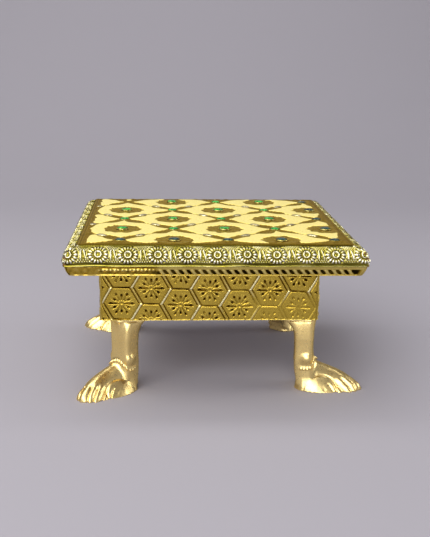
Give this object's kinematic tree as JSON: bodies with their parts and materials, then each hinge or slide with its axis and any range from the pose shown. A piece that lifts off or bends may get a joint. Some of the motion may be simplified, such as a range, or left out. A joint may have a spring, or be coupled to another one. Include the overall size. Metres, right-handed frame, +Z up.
{
  "type": "low stool",
  "caption": "Small square low stool with embossed foil-clad wood, an enamelled top set with stones, and cast legs shaped like feet with anklets.",
  "frame": {"origin": "on the floor, under the middle of the whole stool's bounding box; the middle of the top lies 1 mm to -X of it, because the right feet reach out further past the top", "axes": "+Z up, -Y the front that the picture shows, +X to the right seen from the front"},
  "size_m": [0.1568, 0.1526, 0.0824],
  "materials": {
    "board_wood": "planed, unfinished",
    "foil_gold": "embossed, bright",
    "rope_gold": "embossed, bright",
    "sheet_gold": "stamped, satin",
    "enamel_cream": "glossy enamel",
    "stone_green": "polished, cut",
    "setting_metal": "bright",
    "cast_brass": "polished casting",
    "fixing_steel": "plain"
  },
  "bodies": {
    "root": {"top_board": "board_wood", "base_board": "board_wood", "top_sheet": "sheet_gold", "enamel_fields": "enamel_cream", "large_stones": "stone_green", "small_stones": "stone_green", "stone_settings": "setting_metal", "top_nails": "fixing_steel", "leg_screws": "fixing_steel", "edge_foil_front": "foil_gold", "rope_trim_front": "rope_gold", "apron_foil_front": "foil_gold", "apron_board_front": "board_wood", "edge_foil_right": "foil_gold", "rope_trim_right": "rope_gold", "apron_foil_right": "foil_gold", "apron_board_right": "board_wood", "edge_foil_back": "foil_gold", "rope_trim_back": "rope_gold", "apron_foil_back": "foil_gold", "apron_board_back": "board_wood", "edge_foil_left": "foil_gold", "rope_trim_left": "rope_gold", "apron_foil_left": "foil_gold", "apron_board_left": "board_wood", "corner_block_front_left": "board_wood", "leg_front_left": "cast_brass", "corner_block_front_right": "board_wood", "leg_front_right": "cast_brass", "corner_block_back_left": "board_wood", "leg_back_left": "cast_brass", "corner_block_back_right": "board_wood", "leg_back_right": "cast_brass"}
  },
  "joints": []
}
